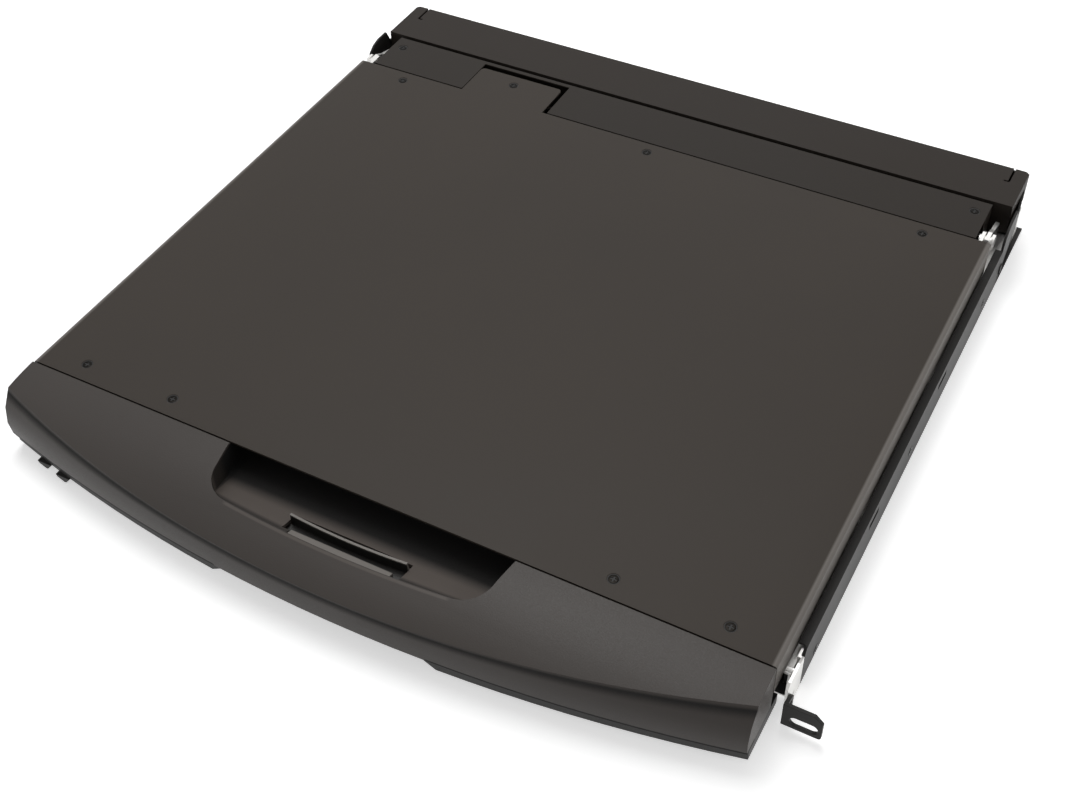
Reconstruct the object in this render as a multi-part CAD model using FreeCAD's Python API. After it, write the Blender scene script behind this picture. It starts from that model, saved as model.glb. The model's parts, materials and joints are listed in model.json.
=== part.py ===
"""Rackmount LCD console drawer, 1U high, drawn closed.

Build frame in millimetres: X to the right, Y to the back, Z up.
X = 0 is the middle, Y = 0 the rear face of the rack ears, Z = 0 the underside of the rails.
The shapes are moved down at the end so that the origin is the middle of the two ear slots.
Screws and rivets are small fasteners and are made with the finished look, not here.
"""
import math
import os

import FreeCAD, Part

os.makedirs("parts", exist_ok=True)
V = FreeCAD.Vector

# Widths, all from the span over the rack ears
EAR_SPAN = 482.6
SLOT_FROM_END = 8.75
EAR_REACH = 19.8
RAIL_SHEET = 1.5
SLIDE_ROOM = 12.0
LID_CLEAR = 4.0
BOX_CLEAR = 2.5
SLOT_SPACING = EAR_SPAN - 2 * SLOT_FROM_END
RAIL_OUT = EAR_SPAN / 2 - EAR_REACH
RAIL_IN = RAIL_OUT - RAIL_SHEET
SLIDE_OUT = RAIL_IN - 1.2
TRAY_HALF = RAIL_IN - SLIDE_ROOM
LID_HALF = RAIL_IN - LID_CLEAR
BOX_HALF = RAIL_IN - BOX_CLEAR
BOX_LOW_HALF = TRAY_HALF - 0.5
DECK_HALF = TRAY_HALF - 2.0
STRIP_HALF = TRAY_HALF - 1.6
LEAF_IN = TRAY_HALF + 0.4

# Heights, most of them from the height of the whole drawer
HEIGHT = 42.0
LID_DEEP = 20.0
SHEET = 1.2
INNER = HEIGHT - SHEET
LID_UNDER = HEIGHT - LID_DEEP
DECK_TOP = LID_UNDER - 6.0
TRAY_TOP = LID_UNDER - 2.0
EAR_DEEP = 16.0
EAR_LOW = TRAY_TOP - EAR_DEEP
SLOT_UP = 5.5
SLOT_Z = EAR_LOW + SLOT_UP
SLIDE_LOW = 1.4
SLIDE_TOP = LID_UNDER - 1.6
RAIL_TOP = LID_UNDER + 5.0
AXIS_Z = HEIGHT - 6.0
CHEEK_TOP = HEIGHT - 1.0
CHEEK_LOW_TOP = HEIGHT - 9.0
TRAY_BOTTOM = 0.8
FLOOR_TOP = TRAY_BOTTOM + SHEET

# Depths, chained from the depth of the lid
LID_FRONT = 0.5
LID_DEPTH = 325.5
SEAM = 1.0
LID_REAR = LID_FRONT + LID_DEPTH
DECK_REAR = LID_REAR - 8.0
AXIS_Y = LID_REAR + 9.0
CHEEK_FRONT = LID_REAR + 15.0
TRAY_REAR = LID_REAR + 34.0
STRIP_REAR = LID_REAR + 35.5
BOX_FRONT = LID_REAR + 38.5
BOX_DEPTH = 37.0
BOX_REAR = BOX_FRONT + BOX_DEPTH
RAIL_FRONT = 25.0
SLIDE_FRONT = 14.0
SLIDE_REAR = BOX_REAR - 6.5

# Bezel
BEZEL_BOTTOM = 11.5
BEZEL_WALL = 2.4
CROWN_DROP = 0.0041
CREASE_R = 2.5
# height, depth in the middle and depth at the ends of each plan section of the bezel front
BEZEL_SECTIONS = [
    (BEZEL_BOTTOM, -53.7, -28.3),
    (20.5, -54.6, -29.2),
    (30.5, -53.5, -26.9),
    (HEIGHT, -51.6, -19.5),
]

# Handle recess and its latch
RECESS_BACK = 11.0
RECESS_SIDE = 81.3
RECESS_FRONT = -33.6
RECESS_FLOOR = [(13.0, HEIGHT - 17.4), (-15.0, HEIGHT - 15.2), (-40.0, HEIGHT - 6.8)]
LATCH_HALF = 34.2
LATCH_RIB_Y = -20.0
LATCH_PAD = (-31.4, -25.6)
PAD_HALF = 29.6
LATCH_TRAVEL = 2.5
LATCH_GAP = 0.6
STEM_HALF = 12.0
STEM_Y = (-25.4, -24.0)
NOSE_Y = -27.6
KEEPER_Y = -28.1

# Tray front
LIP_BOTTOM = 3.7
LIP_TOP = 10.9
LIP_MIDDLE = -52.0
LIP_END = -26.0
FINGER_HALF_LOW = 66.0
FINGER_HALF_HIGH = 56.0
FINGER_BACK = -24.0
TOOTH_FROM_END = (24.6, 40.2)

# Hinge
PIN_R = 3.0
RUN_CLEAR = 0.05
EYE_R = 5.0

# Keys
PITCH = 19.05
KEY_REAR = 243.0
KEY_TOP = DECK_TOP + 3.6
KEY_HEIGHT = 4.5
KEY_GAP = 3.2
KEY_ROWS = [
    [1] * 15,
    [1] * 13 + [2],
    [1.5] + [1] * 12 + [1.5],
    [1.75] + [1] * 11 + [2.25],
    [2.25] + [1] * 10 + [1.75, 1],
    [1.25, 1.25, 1.25, 5.25] + [1] * 6,
]
STEM = 4.0
STEM_CLEAR = 0.1

# Touchpad: half width, front and rear of its opening
PAD_ROOM = (45.2, 39.8, 100.2)

# Inlet and switch: middles from the left end of the low part of the rear box
INLET_FROM_END = 71.5
ROCKER_FROM_END = 102.5
INLET_X = INLET_FROM_END - BOX_LOW_HALF
ROCKER_X = ROCKER_FROM_END - BOX_LOW_HALF

# Screen
SCREEN_HALF = LID_HALF - 46.5
SCREEN_FRONT = 22.0
SCREEN_BACK = LID_REAR - 33.5
OSD_Y = LID_REAR - 19.0
OSD_PITCH = 16.0
BUTTON_R = 4.0

# Screw holes
CSK_R = 3.4
CSK_LOW_R = 2.2
FRONT_SCREWS = [(1.1 - LID_HALF + 27.0, 11.3), (86.2 - LID_HALF, 11.3),
                (LID_HALF - 86.3, 11.3), (LID_HALF - 27.1, 11.3)]
REAR_SCREWS = [(38.1 - LID_HALF, LID_REAR - 8.5), (1.0, LID_REAR - 8.5),
               (LID_HALF - 38.3, LID_REAR - 8.5)]
TAB = (-137.5, -77.6, LID_REAR + 28.0)
TAB_SCREW = (-108.9, LID_REAR + 18.7)
STRIP_SCREW = (TRAY_HALF - 9.4, LID_REAR + 25.0)


def box(x0, x1, y0, y1, z0, z1):
    """A block between two corners."""
    return Part.makeBox(x1 - x0, y1 - y0, z1 - z0, V(x0, y0, z0))


def disc(r, start, axis, length):
    """A cylinder from a start point along an axis."""
    return Part.makeCylinder(r, length, V(*start), V(*axis))


def ring(x, y, z, r, sides):
    """The corners of a regular outline in plan, closed."""
    step = 2 * math.pi / sides
    points = [V(x + r * math.cos(step * (i + 0.5)), y + r * math.sin(step * (i + 0.5)), z)
              for i in range(sides)]
    return Part.makePolygon(points + points[:1])


def post(x, y, r, z0, z1, sides=12):
    """An upright moulded post or plug with flat sides."""
    return Part.Face(ring(x, y, z0, r, sides)).extrude(V(0, 0, z1 - z0))


def turned(shape, start, axis):
    """An upright shape from the origin, laid along an axis at a start point."""
    laid = shape.copy()
    laid.Placement = FreeCAD.Placement(V(*start), FreeCAD.Rotation(V(0, 0, 1), V(*axis)))
    return laid


def join(shapes):
    """One solid from touching shapes."""
    shapes = list(shapes)
    return shapes[0].fuse(shapes[1:]).removeSplitter() if len(shapes) > 1 else shapes[0]


def cut(shape, tools):
    """A shape less all of the tools."""
    return shape.cut(Part.makeCompound(list(tools)))


def mirror(shape):
    """The same shape on the other side."""
    return shape.mirror(V(0, 0, 0), V(1, 0, 0))


def prism(points, axis, start, length):
    """A closed profile of points, drawn across an axis and pushed along it."""
    place = {"x": lambda a, b: V(start, a, b), "y": lambda a, b: V(a, start, b),
             "z": lambda a, b: V(a, b, start)}[axis]
    push = {"x": V(length, 0, 0), "y": V(0, length, 0), "z": V(0, 0, length)}[axis]
    corners = [place(a, b) for a, b in points]
    return Part.Face(Part.makePolygon(corners + corners[:1])).extrude(push)


def soften(shape, radius, pick):
    """Rounds the edges that the pick rule accepts."""
    edges = [e for e in shape.Edges if pick(e)]
    return shape.makeFillet(radius, edges) if edges else shape


def upright(e):
    """True for a vertical edge."""
    a, b = e.Vertexes[0].Point, e.Vertexes[-1].Point
    return abs(a.x - b.x) < 1e-6 and abs(a.y - b.y) < 1e-6 and abs(a.z - b.z) > 0.1


def plan_block(middle, end, half, back, z0, z1):
    """A block whose front is an arc in plan."""
    a, b, c = V(-half, end, z0), V(0, middle, z0), V(half, end, z0)
    d, e = V(half, back, z0), V(-half, back, z0)
    wire = Part.Wire([Part.Arc(a, b, c).toShape(), Part.makeLine(c, d), Part.makeLine(d, e),
                      Part.makeLine(e, a)])
    return Part.Face(wire).extrude(V(0, 0, z1 - z0))


def csk_hole(x, y):
    """The countersunk hole of one screw through a cover sheet."""
    extra = 0.2 * (CSK_R - CSK_LOW_R) / SHEET
    rings = [ring(x, y, INNER - 0.2, CSK_LOW_R - extra, 16), ring(x, y, HEIGHT + 0.2, CSK_R + extra, 16)]
    return Part.makeLoft(rings, True, True)


# Lid

def lid_cover():
    """Sheet cover with folded sides, set-back rear wall and the tab at the back."""
    half = LID_HALF
    rear_wall = LID_REAR - 3.0
    top = box(-half, half, LID_FRONT, LID_REAR, INNER, HEIGHT)
    side = box(half - SHEET, half, LID_FRONT, rear_wall, LID_UNDER, INNER)
    fold = box(half - 5.0, half - SHEET, 20.0, rear_wall - 6, LID_UNDER, LID_UNDER + SHEET)
    wall = box(-half + SHEET, half - SHEET, rear_wall - SHEET, rear_wall, LID_UNDER, INNER)
    tab = soften(box(TAB[0], TAB[1], LID_REAR, TAB[2], INNER, HEIGHT), 3.0,
                 lambda e: upright(e) and e.CenterOfMass.y > TAB[2] - 0.1)
    cable_gate = box(TAB[0] + 14, TAB[1] - 14, rear_wall - 5, rear_wall + 1, LID_UNDER + 2, LID_UNDER + 12)
    body = join([top, side, fold, mirror(side), mirror(fold), wall, tab])
    body = soften(body, 1.6, lambda e: abs(e.CenterOfMass.x) > half - 0.01
                  and e.CenterOfMass.z > HEIGHT - 0.01 and e.Length > 100)
    arms = [box(s * (LEAF_IN + 1) - 1.4, s * (LEAF_IN + 1) + 1.4, rear_wall - 8, rear_wall + 1,
                AXIS_Z - 6, INNER) for s in (-1, 1)]
    holes = [csk_hole(x, y) for x, y in FRONT_SCREWS + REAR_SCREWS + [TAB_SCREW]]
    return cut(body, holes + arms + [cable_gate])


def bezel_form(inset, drop):
    """The outer form of the bezel, or the same form made smaller all round."""
    half = LID_HALF - inset
    back = LID_FRONT - SEAM
    wires = []
    for z, middle, end in BEZEL_SECTIONS:
        a, b, c = V(-half, end + inset, z), V(0, middle + inset, z), V(half, end + inset, z)
        d, e = V(half, back, z), V(-half, back, z)
        wires.append(Part.Wire([Part.Arc(a, b, c).toShape(), Part.makeLine(c, d),
                                Part.makeLine(d, e), Part.makeLine(e, a)]))
    front = Part.makeLoft(wires, True, True)
    crown = HEIGHT - drop
    far = -60.0
    arc = Part.Arc(V(-half - 1, back, crown), V(-half - 1, far / 2, crown - CROWN_DROP * (far / 2) ** 2),
                   V(-half - 1, far, crown - CROWN_DROP * far ** 2)).toShape()
    low = BEZEL_BOTTOM - 2
    side = Part.Wire([arc, Part.makeLine(V(-half - 1, far, crown - CROWN_DROP * far ** 2),
                                         V(-half - 1, far, low)),
                      Part.makeLine(V(-half - 1, far, low), V(-half - 1, back, low)),
                      Part.makeLine(V(-half - 1, back, low), V(-half - 1, back, crown))])
    return front.common(Part.Face(side).extrude(V(2 * half + 2, 0, 0)))


def crease(e):
    """True for the long edge between the crown and the front of the bezel."""
    b = e.BoundBox
    return b.XLength > 2 * LID_HALF - 1 and b.YMax < -10 and b.ZMin > 31 and b.YMin < -50


def recess_plan(grow, z0, z1):
    """The plan outline of the recess as an upright block."""
    side, front = RECESS_SIDE + grow, RECESS_FRONT - grow
    back = RECESS_BACK + grow
    flare = side + 4.6
    right = [V(side, -15, z0), V(side - 4.2, -25.2 - grow * 0.7, z0), V(65.5, -30.8 - grow, z0)]
    left = [V(-p.x, p.y, z0) for p in right]
    wire = Part.Wire([
        Part.makeLine(V(-flare, back, z0), V(flare, back, z0)),
        Part.makeLine(V(flare, back, z0), right[0]),
        Part.Arc(*right).toShape(),
        Part.Arc(right[2], V(0, front, z0), left[2]).toShape(),
        Part.Arc(left[2], left[1], left[0]).toShape(),
        Part.makeLine(left[0], V(-flare, back, z0)),
    ])
    return Part.Face(wire).extrude(V(0, 0, z1 - z0))


def above_floor(lower):
    """Everything above the sloping concave floor of the recess."""
    (y0, z0), (y1, z1), (y2, z2) = RECESS_FLOOR
    a, m, b = V(-100, y0, z0 - lower), V(-100, y1, z1 - lower), V(-100, y2, z2 - lower)
    top_b, top_a = V(-100, y2, 90), V(-100, y0, 90)
    wire = Part.Wire([Part.Arc(a, m, b).toShape(), Part.makeLine(b, top_b),
                      Part.makeLine(top_b, top_a), Part.makeLine(top_a, a)])
    return Part.Face(wire).extrude(V(200, 0, 0))


def latch_openings():
    """The openings of the latch in the recess floor and in the web below it."""
    low = LID_UNDER + 2.05
    back = LATCH_RIB_Y + 1.3 + LATCH_TRAVEL + LATCH_GAP
    rib_room = box(-LATCH_HALF - LATCH_GAP, LATCH_HALF + LATCH_GAP, LATCH_PAD[1] - 1.0, back, low, 60)
    pad_room = box(-PAD_HALF - LATCH_GAP, LATCH_HALF + LATCH_GAP, LATCH_PAD[0] - LATCH_GAP,
                   LATCH_PAD[1], low, 60)
    stem_room = box(-STEM_HALF - 1.0, STEM_HALF + 1.0, NOSE_Y - 0.4, STEM_Y[1] + LATCH_TRAVEL + 0.6,
                    LID_UNDER - 1, low + 1)
    return [rib_room, pad_room, stem_room]


def front_bezel():
    """Moulded bow front with the scooped handle recess."""
    outer = soften(bezel_form(0, 0), CREASE_R, crease)
    inner = bezel_form(BEZEL_WALL, BEZEL_WALL)
    half = LID_HALF
    web = (LID_UNDER, LID_UNDER + 2.0)
    above = inner.common(box(-half, half, -70, 1, web[1], 90))
    below = inner.common(box(-half, half, -70, 1, 0, web[0]))
    shell = cut(outer, [above, below])
    flange = box(-half + 2.0, half - 2.0, -3.0, 18.0, INNER - 2.4, INNER)
    ledge = box(-half + 3.0, half - 3.0, -1.0, 6.0, web[0], web[1])
    bosses = [post(x, y, 3.5, web[1] - 1, INNER - 2) for x, y in FRONT_SCREWS]
    feet = [box(x - 3.5, x + 3.5, -1, y, web[0], web[1]) for x, y in FRONT_SCREWS]
    tub = recess_plan(2.0, web[0], INNER).common(above_floor(2.0))
    tub_low = tub.common(box(-120, 120, -60, LID_FRONT - SEAM, 0, 90)).common(bezel_form(0.8, 0.8))
    tub_back = tub.common(box(-120, 120, LID_FRONT - SEAM, 20, 0, INNER))
    body = join([shell, flange, ledge, tub_low, tub_back] + bosses + feet)
    pocket = recess_plan(0, LID_UNDER + 1.5, 90).common(above_floor(0))
    return cut(body, [pocket] + latch_openings())


def latch_arc(depth, z):
    """The bowed line of the latch rib at one depth."""
    return Part.Arc(V(-LATCH_HALF, depth, z), V(0, depth - 1.5, z), V(LATCH_HALF, depth, z)).toShape()


def release_latch():
    """Slide with a finger rib, a trough, a sloped pad in front of it and a stem down to the nose."""
    low, back, t = LID_UNDER + 2.3, LATCH_RIB_Y + 1.3, 1.3
    front_arc = latch_arc(LATCH_RIB_Y, low)
    rear_arc = latch_arc(back, low)
    ends = [Part.makeLine(V(s * LATCH_HALF, LATCH_RIB_Y, low), V(s * LATCH_HALF, back, low))
            for s in (1, -1)]
    rib = Part.Face(Part.Wire([front_arc, ends[0], rear_arc, ends[1]])).extrude(V(0, 0, 8.2))
    pad = box(-PAD_HALF, PAD_HALF, LATCH_PAD[0], LATCH_PAD[1], low, 90)
    pad = pad.common(above_floor(1.5)).cut(above_floor(0.1))
    step = box(-PAD_HALF, PAD_HALF, LATCH_PAD[1] - t, LATCH_PAD[1], low, LID_UNDER + 6.8)
    trough = box(-LATCH_HALF, LATCH_HALF, LATCH_PAD[1] - t, LATCH_RIB_Y + 0.6, low, low + 1.2)
    stem = box(-STEM_HALF, STEM_HALF, STEM_Y[0], STEM_Y[1], DECK_TOP + 1.0, low + 0.5)
    nose_low = DECK_TOP + 1.0
    nose = prism([(STEM_Y[0], nose_low), (NOSE_Y, nose_low + 0.4), (NOSE_Y, nose_low + 1.4),
                  (STEM_Y[0], nose_low + 1.4)], "x", -STEM_HALF, 2 * STEM_HALF)
    return join([rib, trough, step, pad, stem, nose])


def screen_frame():
    """Inner frame of the lid around the screen, with screw bosses and button holes."""
    half = LID_HALF - SHEET - 4.3
    low, high = LID_UNDER - 1, LID_UNDER + 4
    plate = box(-half, half, 6.3, LID_REAR - 4.5, LID_UNDER, LID_UNDER + 2.4)
    opening = box(-SCREEN_HALF, SCREEN_HALF, SCREEN_FRONT, SCREEN_BACK, low, high)
    bosses = [post(x, y, 3.5, LID_UNDER + 2, INNER) for x, y in REAR_SCREWS]
    rib = SCREEN_HALF + 13.5
    ribs = [box(s * rib - 1, s * rib + 1, 20, LID_REAR - 26, LID_UNDER + 2, LID_UNDER + 14)
            for s in (-1, 1)]
    keys = [post(x, OSD_Y, BUTTON_R + 0.15, low, high, 20) for x in osd_places()]
    posts = [box(x - 2, x + 2, OSD_Y - 2, OSD_Y + 2, LID_UNDER + 2, LID_UNDER + 6) for x in (-52, 52)]
    notches = [box(x - 4.5, x + 4.5, 4, y + 4.5, low, high) for x, y in FRONT_SCREWS]
    notches.append(box(-92, 92, 4, RECESS_BACK + 2.6, low, high))
    return cut(join([plate] + bosses + ribs + posts), [opening] + keys + notches)


def osd_places():
    """Middles of the five screen menu buttons."""
    return [(i - 2) * OSD_PITCH for i in range(5)]


def osd_button(x):
    """A round menu button with a retaining collar inside the frame."""
    cap = post(x, OSD_Y, BUTTON_R, LID_UNDER - 0.6, LID_UNDER + 2.6, 20)
    collar = box(x - 5.2, x + 5.2, OSD_Y - 5.2, OSD_Y + 5.2, LID_UNDER + 2.5, LID_UNDER + 3.5)
    return join([cap, collar])


def osd_board():
    """Board behind the menu buttons with one switch under each."""
    plate = box(-60, 60, OSD_Y - 7, OSD_Y + 7, LID_UNDER + 6.0, LID_UNDER + 7.6)
    keys = [box(x - 2, x + 2, OSD_Y - 2, OSD_Y + 2, LID_UNDER + 4.4, LID_UNDER + 6.2)
            for x in osd_places()]
    return join([plate] + keys)


def lcd_panel():
    """The panel: metal can with folded edge lugs."""
    half, low = SCREEN_HALF + 8.5, LID_UNDER + 4.4
    can = box(-half, half, 15.5, LID_REAR - 28, low, LID_UNDER + 15)
    step = box(28 - half, half - 28, 40, LID_REAR - 56, LID_UNDER + 14.8, LID_UNDER + 16.6)
    lug = half + 1.6
    lugs = [box(s * lug - 2.2, s * lug + 2.2, y - 8, y + 8, low, low + 1.6)
            for s in (-1, 1) for y in (50, LID_REAR - 76)]
    return join([can, step] + lugs)


def screen_glass():
    """Clear sheet that closes the screen opening."""
    return box(-SCREEN_HALF - 6, SCREEN_HALF + 6, SCREEN_FRONT - 6, SCREEN_BACK + 5,
               LID_UNDER + 2.4, LID_UNDER + 4.4)


def cable_clamp():
    """Saddle under the lid tab for the lid lead."""
    x, y = TAB_SCREW
    pad = box(x - 11, x + 11, y - 8, y + 5, INNER - 2.2, INNER)
    return cut(pad, [turned(post(0, 0, 2.2, 0, 24, 8), (x - 12, y - 5.0, INNER - 2.4), (1, 0, 0))])


def hinge_leaf():
    """Lid arm of the right hinge with its pin."""
    y0, low = LID_REAR - 34, AXIS_Z - 5
    flange = box(LEAF_IN - 15.4, LEAF_IN + 2.0, y0, y0 + 26, INNER - 1.6, INNER)
    arm = prism([(y0, INNER - 1.6), (y0, low + 2), (y0 + 26, low), (AXIS_Y, low),
                 (AXIS_Y, low + 10), (AXIS_Y - 7.5, INNER), (y0, INNER)], "x", LEAF_IN, 2.0)
    eye = turned(post(0, 0, EYE_R, 0, 2.0), (LEAF_IN, AXIS_Y, AXIS_Z), (1, 0, 0))
    pin = disc(PIN_R, (LEAF_IN - 1.2, AXIS_Y, AXIS_Z), (1, 0, 0), 8.4)
    nut = turned(post(0, 0, 4.6, 0, 1.8, 6), (LEAF_IN + 5.8, AXIS_Y, AXIS_Z), (1, 0, 0))
    return join([flange, arm, eye, pin, nut])


# Tray

def tray_pan():
    """Folded steel pan with vent slots, side walls and rear wall."""
    half = TRAY_HALF
    floor = box(-half, half, -22, TRAY_REAR, TRAY_BOTTOM, FLOOR_TOP)
    apron = box(1 - LID_HALF, LID_HALF - 1, -22, 10, TRAY_BOTTOM, FLOOR_TOP)
    side = box(half - SHEET, half, 10, TRAY_REAR, TRAY_BOTTOM, TRAY_TOP)
    rear = box(-half, half, TRAY_REAR - SHEET, TRAY_REAR, TRAY_BOTTOM, TRAY_TOP)
    slots = [box(-99 + 30 * i, -81 + 30 * i, y, y + 3.5, 0, 3) for i in range(7) for y in (250, 274)]
    notch = box(-150, -60, TRAY_REAR - 2, TRAY_REAR + 1, 8, 25)
    return cut(join([floor, apron, side, mirror(side), rear]), slots + [notch])


def finger_gap():
    """The slanted-ended gap in the middle of the tray front."""
    low, high = FINGER_HALF_LOW, FINGER_HALF_HIGH
    return prism([(-low - 1, -1), (low + 1, -1), (low, LIP_BOTTOM), (high, LIP_TOP + 0.1),
                  (-high, LIP_TOP + 0.1), (-low, LIP_BOTTOM)], "y", -80, 80 + FINGER_BACK)


def tray_front_lip():
    """Moulded lip that follows the bezel, with the finger gap and two toothed stops."""
    wall = 2.2
    half = LID_HALF
    outer = plan_block(LIP_MIDDLE, LIP_END, half, 8, LIP_BOTTOM, LIP_TOP)
    seat = box(1 - half, half - 1, -21.9, 8, FLOOR_TOP, LIP_BOTTOM)
    low, high = FINGER_HALF_LOW + wall, FINGER_HALF_HIGH + wall
    gap_wall = prism([(-low, LIP_BOTTOM), (low, LIP_BOTTOM), (high, LIP_TOP), (-high, LIP_TOP)],
                     "y", -80, 80 + FINGER_BACK + wall)
    hollow = plan_block(LIP_MIDDLE + wall, LIP_END + wall, half - wall, 8 - wall,
                        LIP_BOTTOM + wall, LIP_TOP + 1).cut(gap_wall)
    teeth = [tooth(inset - half) for inset in TOOTH_FROM_END]
    return join([outer.cut(hollow).cut(finger_gap()), seat] + teeth)


def tooth(x):
    """A small downward tooth under the lip."""
    high = LIP_BOTTOM + 0.5
    return prism([(x - 5.2, high), (x - 4.2, 2.4), (x, 0.1), (x + 1.2, 0.5), (x + 4.4, high)],
                 "y", lip_front(x) - 2.0, 8.0)


def lip_front(x):
    """Depth of the lip's front at one place along it."""
    return LIP_END + (LIP_MIDDLE - LIP_END) * (1 - (x / LID_HALF) ** 2)


def keyboard_deck():
    """Palm rest and keyboard surround, open below, on three long walls."""
    under, edge = DECK_TOP - 2.0, DECK_HALF - 2.0
    top = plan_block(-46, -20.5, DECK_HALF, DECK_REAR, under, DECK_TOP)
    apron = plan_block(-46, -20.5, DECK_HALF, DECK_REAR, LIP_TOP, under)
    hollow = plan_block(-44, -18.5, edge, DECK_REAR - 2, LIP_TOP - 1, under)
    walls = [box(s * edge - 1, s * edge + 1, 12, DECK_REAR, FLOOR_TOP, under) for s in (-1, 1)]
    walls.append(box(-edge, edge, DECK_REAR - 2, DECK_REAR, FLOOR_TOP, under))
    half, front = key_field()
    keys = box(-half, half, front, KEY_REAR + 1.5, under - 1, DECK_TOP + 1)
    pad_half, pad_near, pad_far = PAD_ROOM
    pad = box(-pad_half, pad_half, pad_near, pad_far, under - 1, DECK_TOP + 1)
    buttons = [box(*b, under - 1, DECK_TOP + 1) for b in pad_button_places(0.3)]
    dish = box(-52, 52, 17, 106, DECK_TOP - 0.5, DECK_TOP + 1)
    return cut(join([top, apron.cut(hollow)] + walls), [keys, pad, dish] + buttons)


def key_field():
    """Half width and front of the opening for the keys."""
    return PITCH * 15 / 2 + 1.5, KEY_REAR - PITCH * 6 - 1.5


def pad_button_places(grow):
    """The two touchpad buttons in plan."""
    return [(-44 - grow, -1 + grow, 22 - grow, 36 + grow), (1 - grow, 44 + grow, 22 - grow, 36 + grow)]


def key_places(row):
    """Left edge, right edge and middle depth of every key in a row."""
    y = KEY_REAR - PITCH * (row + 0.5)
    x = -PITCH * 15 / 2
    places = []
    for units in KEY_ROWS[row]:
        places.append((x, x + units * PITCH, y))
        x += units * PITCH
    return places


def keycap(x0, x1, y):
    """A tapered cap on a square stem."""
    g, t = KEY_GAP / 2, 1.1
    low, near, far = KEY_TOP - KEY_HEIGHT, y - PITCH / 2 + KEY_GAP / 2, y + PITCH / 2 - KEY_GAP / 2
    base = [V(x0 + g, near, low), V(x1 - g, near, low), V(x1 - g, far, low), V(x0 + g, far, low)]
    head = [V(x0 + g + t, near + t, KEY_TOP), V(x1 - g - t, near + t, KEY_TOP),
            V(x1 - g - t, far - t * 0.6, KEY_TOP), V(x0 + g + t, far - t * 0.6, KEY_TOP)]
    cap = Part.makeLoft([Part.makePolygon(base + base[:1]), Part.makePolygon(head + head[:1])],
                        True, True)
    mid = (x0 + x1) / 2
    stem = box(mid - STEM / 2, mid + STEM / 2, y - STEM / 2, y + STEM / 2, 8.0, low)
    return join([cap, stem])


def key_row(row):
    """All keys of one row."""
    return Part.makeCompound([keycap(*place) for place in key_places(row)])


def key_base_plate():
    """Steel plate with one guide slot for the key stems of every row, on folded legs."""
    half, front = key_field()
    rear = KEY_REAR + 4
    front -= 4
    half += 4
    top = DECK_TOP - 3.6
    under = top - 1.5
    plate = box(-half, half, front, rear, under, top)
    leg = box(half - SHEET, half, front, rear, FLOOR_TOP, under)
    legs = [leg, mirror(leg)]
    legs += [box(-half, half, y, y + SHEET, FLOOR_TOP, under) for y in (front, rear - SHEET)]
    holes = []
    c = STEM / 2 + STEM_CLEAR
    for row in range(6):
        mids = [((x0 + x1) / 2, y) for x0, x1, y in key_places(row)]
        y = mids[0][1]
        holes.append(box(mids[0][0] - c, mids[-1][0] + c, y - c, y + c, under - 1, top + 1))
    return cut(join([plate] + legs), holes)


def touchpad():
    """Pad held under the deck by its flange, with a support leg to the pan."""
    half, near, far = PAD_ROOM
    pad = box(0.3 - half, half - 0.3, near + 0.3, far - 0.3, DECK_TOP - 3, DECK_TOP - 0.7)
    flange = box(-half - 2.8, half + 2.8, near - 2.2, far + 2.8, DECK_TOP - 3.6, DECK_TOP - 2)
    leg = half - 5.2
    legs = [box(x - 1, x + 1, near + 5.2, far - 5.2, FLOOR_TOP, DECK_TOP - 3.6) for x in (-leg, leg)]
    return join([pad, flange] + legs)


def pad_button(side):
    """One touchpad button with a retaining collar below the deck."""
    x0, x1, y0, y1 = pad_button_places(0)[0 if side < 0 else 1]
    cap = box(x0, x1, y0, y1, DECK_TOP - 3, DECK_TOP + 0.2)
    collar = box(x0 - (1.6 if side < 0 else -1.0), x1 + (1.6 if side > 0 else -1.0), y0 - 1.6, y1 + 1.0,
                 DECK_TOP - 3.8, DECK_TOP - 2.1)
    m = (x0 + x1) / 2
    stem = box(m - 2, m + 2, y0 + 5, y0 + 9, DECK_TOP - 7.5, DECK_TOP - 3.6)
    return join([cap, collar, stem])


def pad_board():
    """Small board on legs that guides the two button stems."""
    low, high = DECK_TOP - 6.4, DECK_TOP - 5
    plate = box(-47, 47, 19, 37, low, high)
    legs = [box(x, x + 1.5, 19, 37, FLOOR_TOP, low) for x in (-47, -0.75, 45.5)]
    holes = []
    for x0, x1, y0, y1 in pad_button_places(0):
        m = (x0 + x1) / 2
        holes.append(box(m - 2.1, m + 2.1, y0 + 4.9, y0 + 9.1, low - 1, high + 1))
    return cut(join([plate] + legs), holes)


def hinge_strip():
    """Cover between the lid and the rear box, cut out for the lid tab, on two end walls."""
    front, half = LID_REAR + SEAM, STRIP_HALF
    top = box(-half, half, front, STRIP_REAR, INNER, HEIGHT)
    back = box(-half, half, STRIP_REAR - SHEET, STRIP_REAR, TRAY_TOP + 0.8, INNER)
    foot = box(-half, half, TRAY_REAR - SHEET, STRIP_REAR, TRAY_TOP, TRAY_TOP + 0.8)
    end = box(half - SHEET, half, LID_REAR + 20, STRIP_REAR, LID_UNDER + 0.4, INNER)
    tab_gap = box(TAB[0] - 0.5, TAB[1] + 3.0, front - 1, TAB[2] + 4.5, AXIS_Z - 6, HEIGHT + 8)
    x, y = STRIP_SCREW
    return cut(join([top, back, foot, end, mirror(end)]), [tab_gap, csk_hole(x, y), csk_hole(-x, y)])


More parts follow.
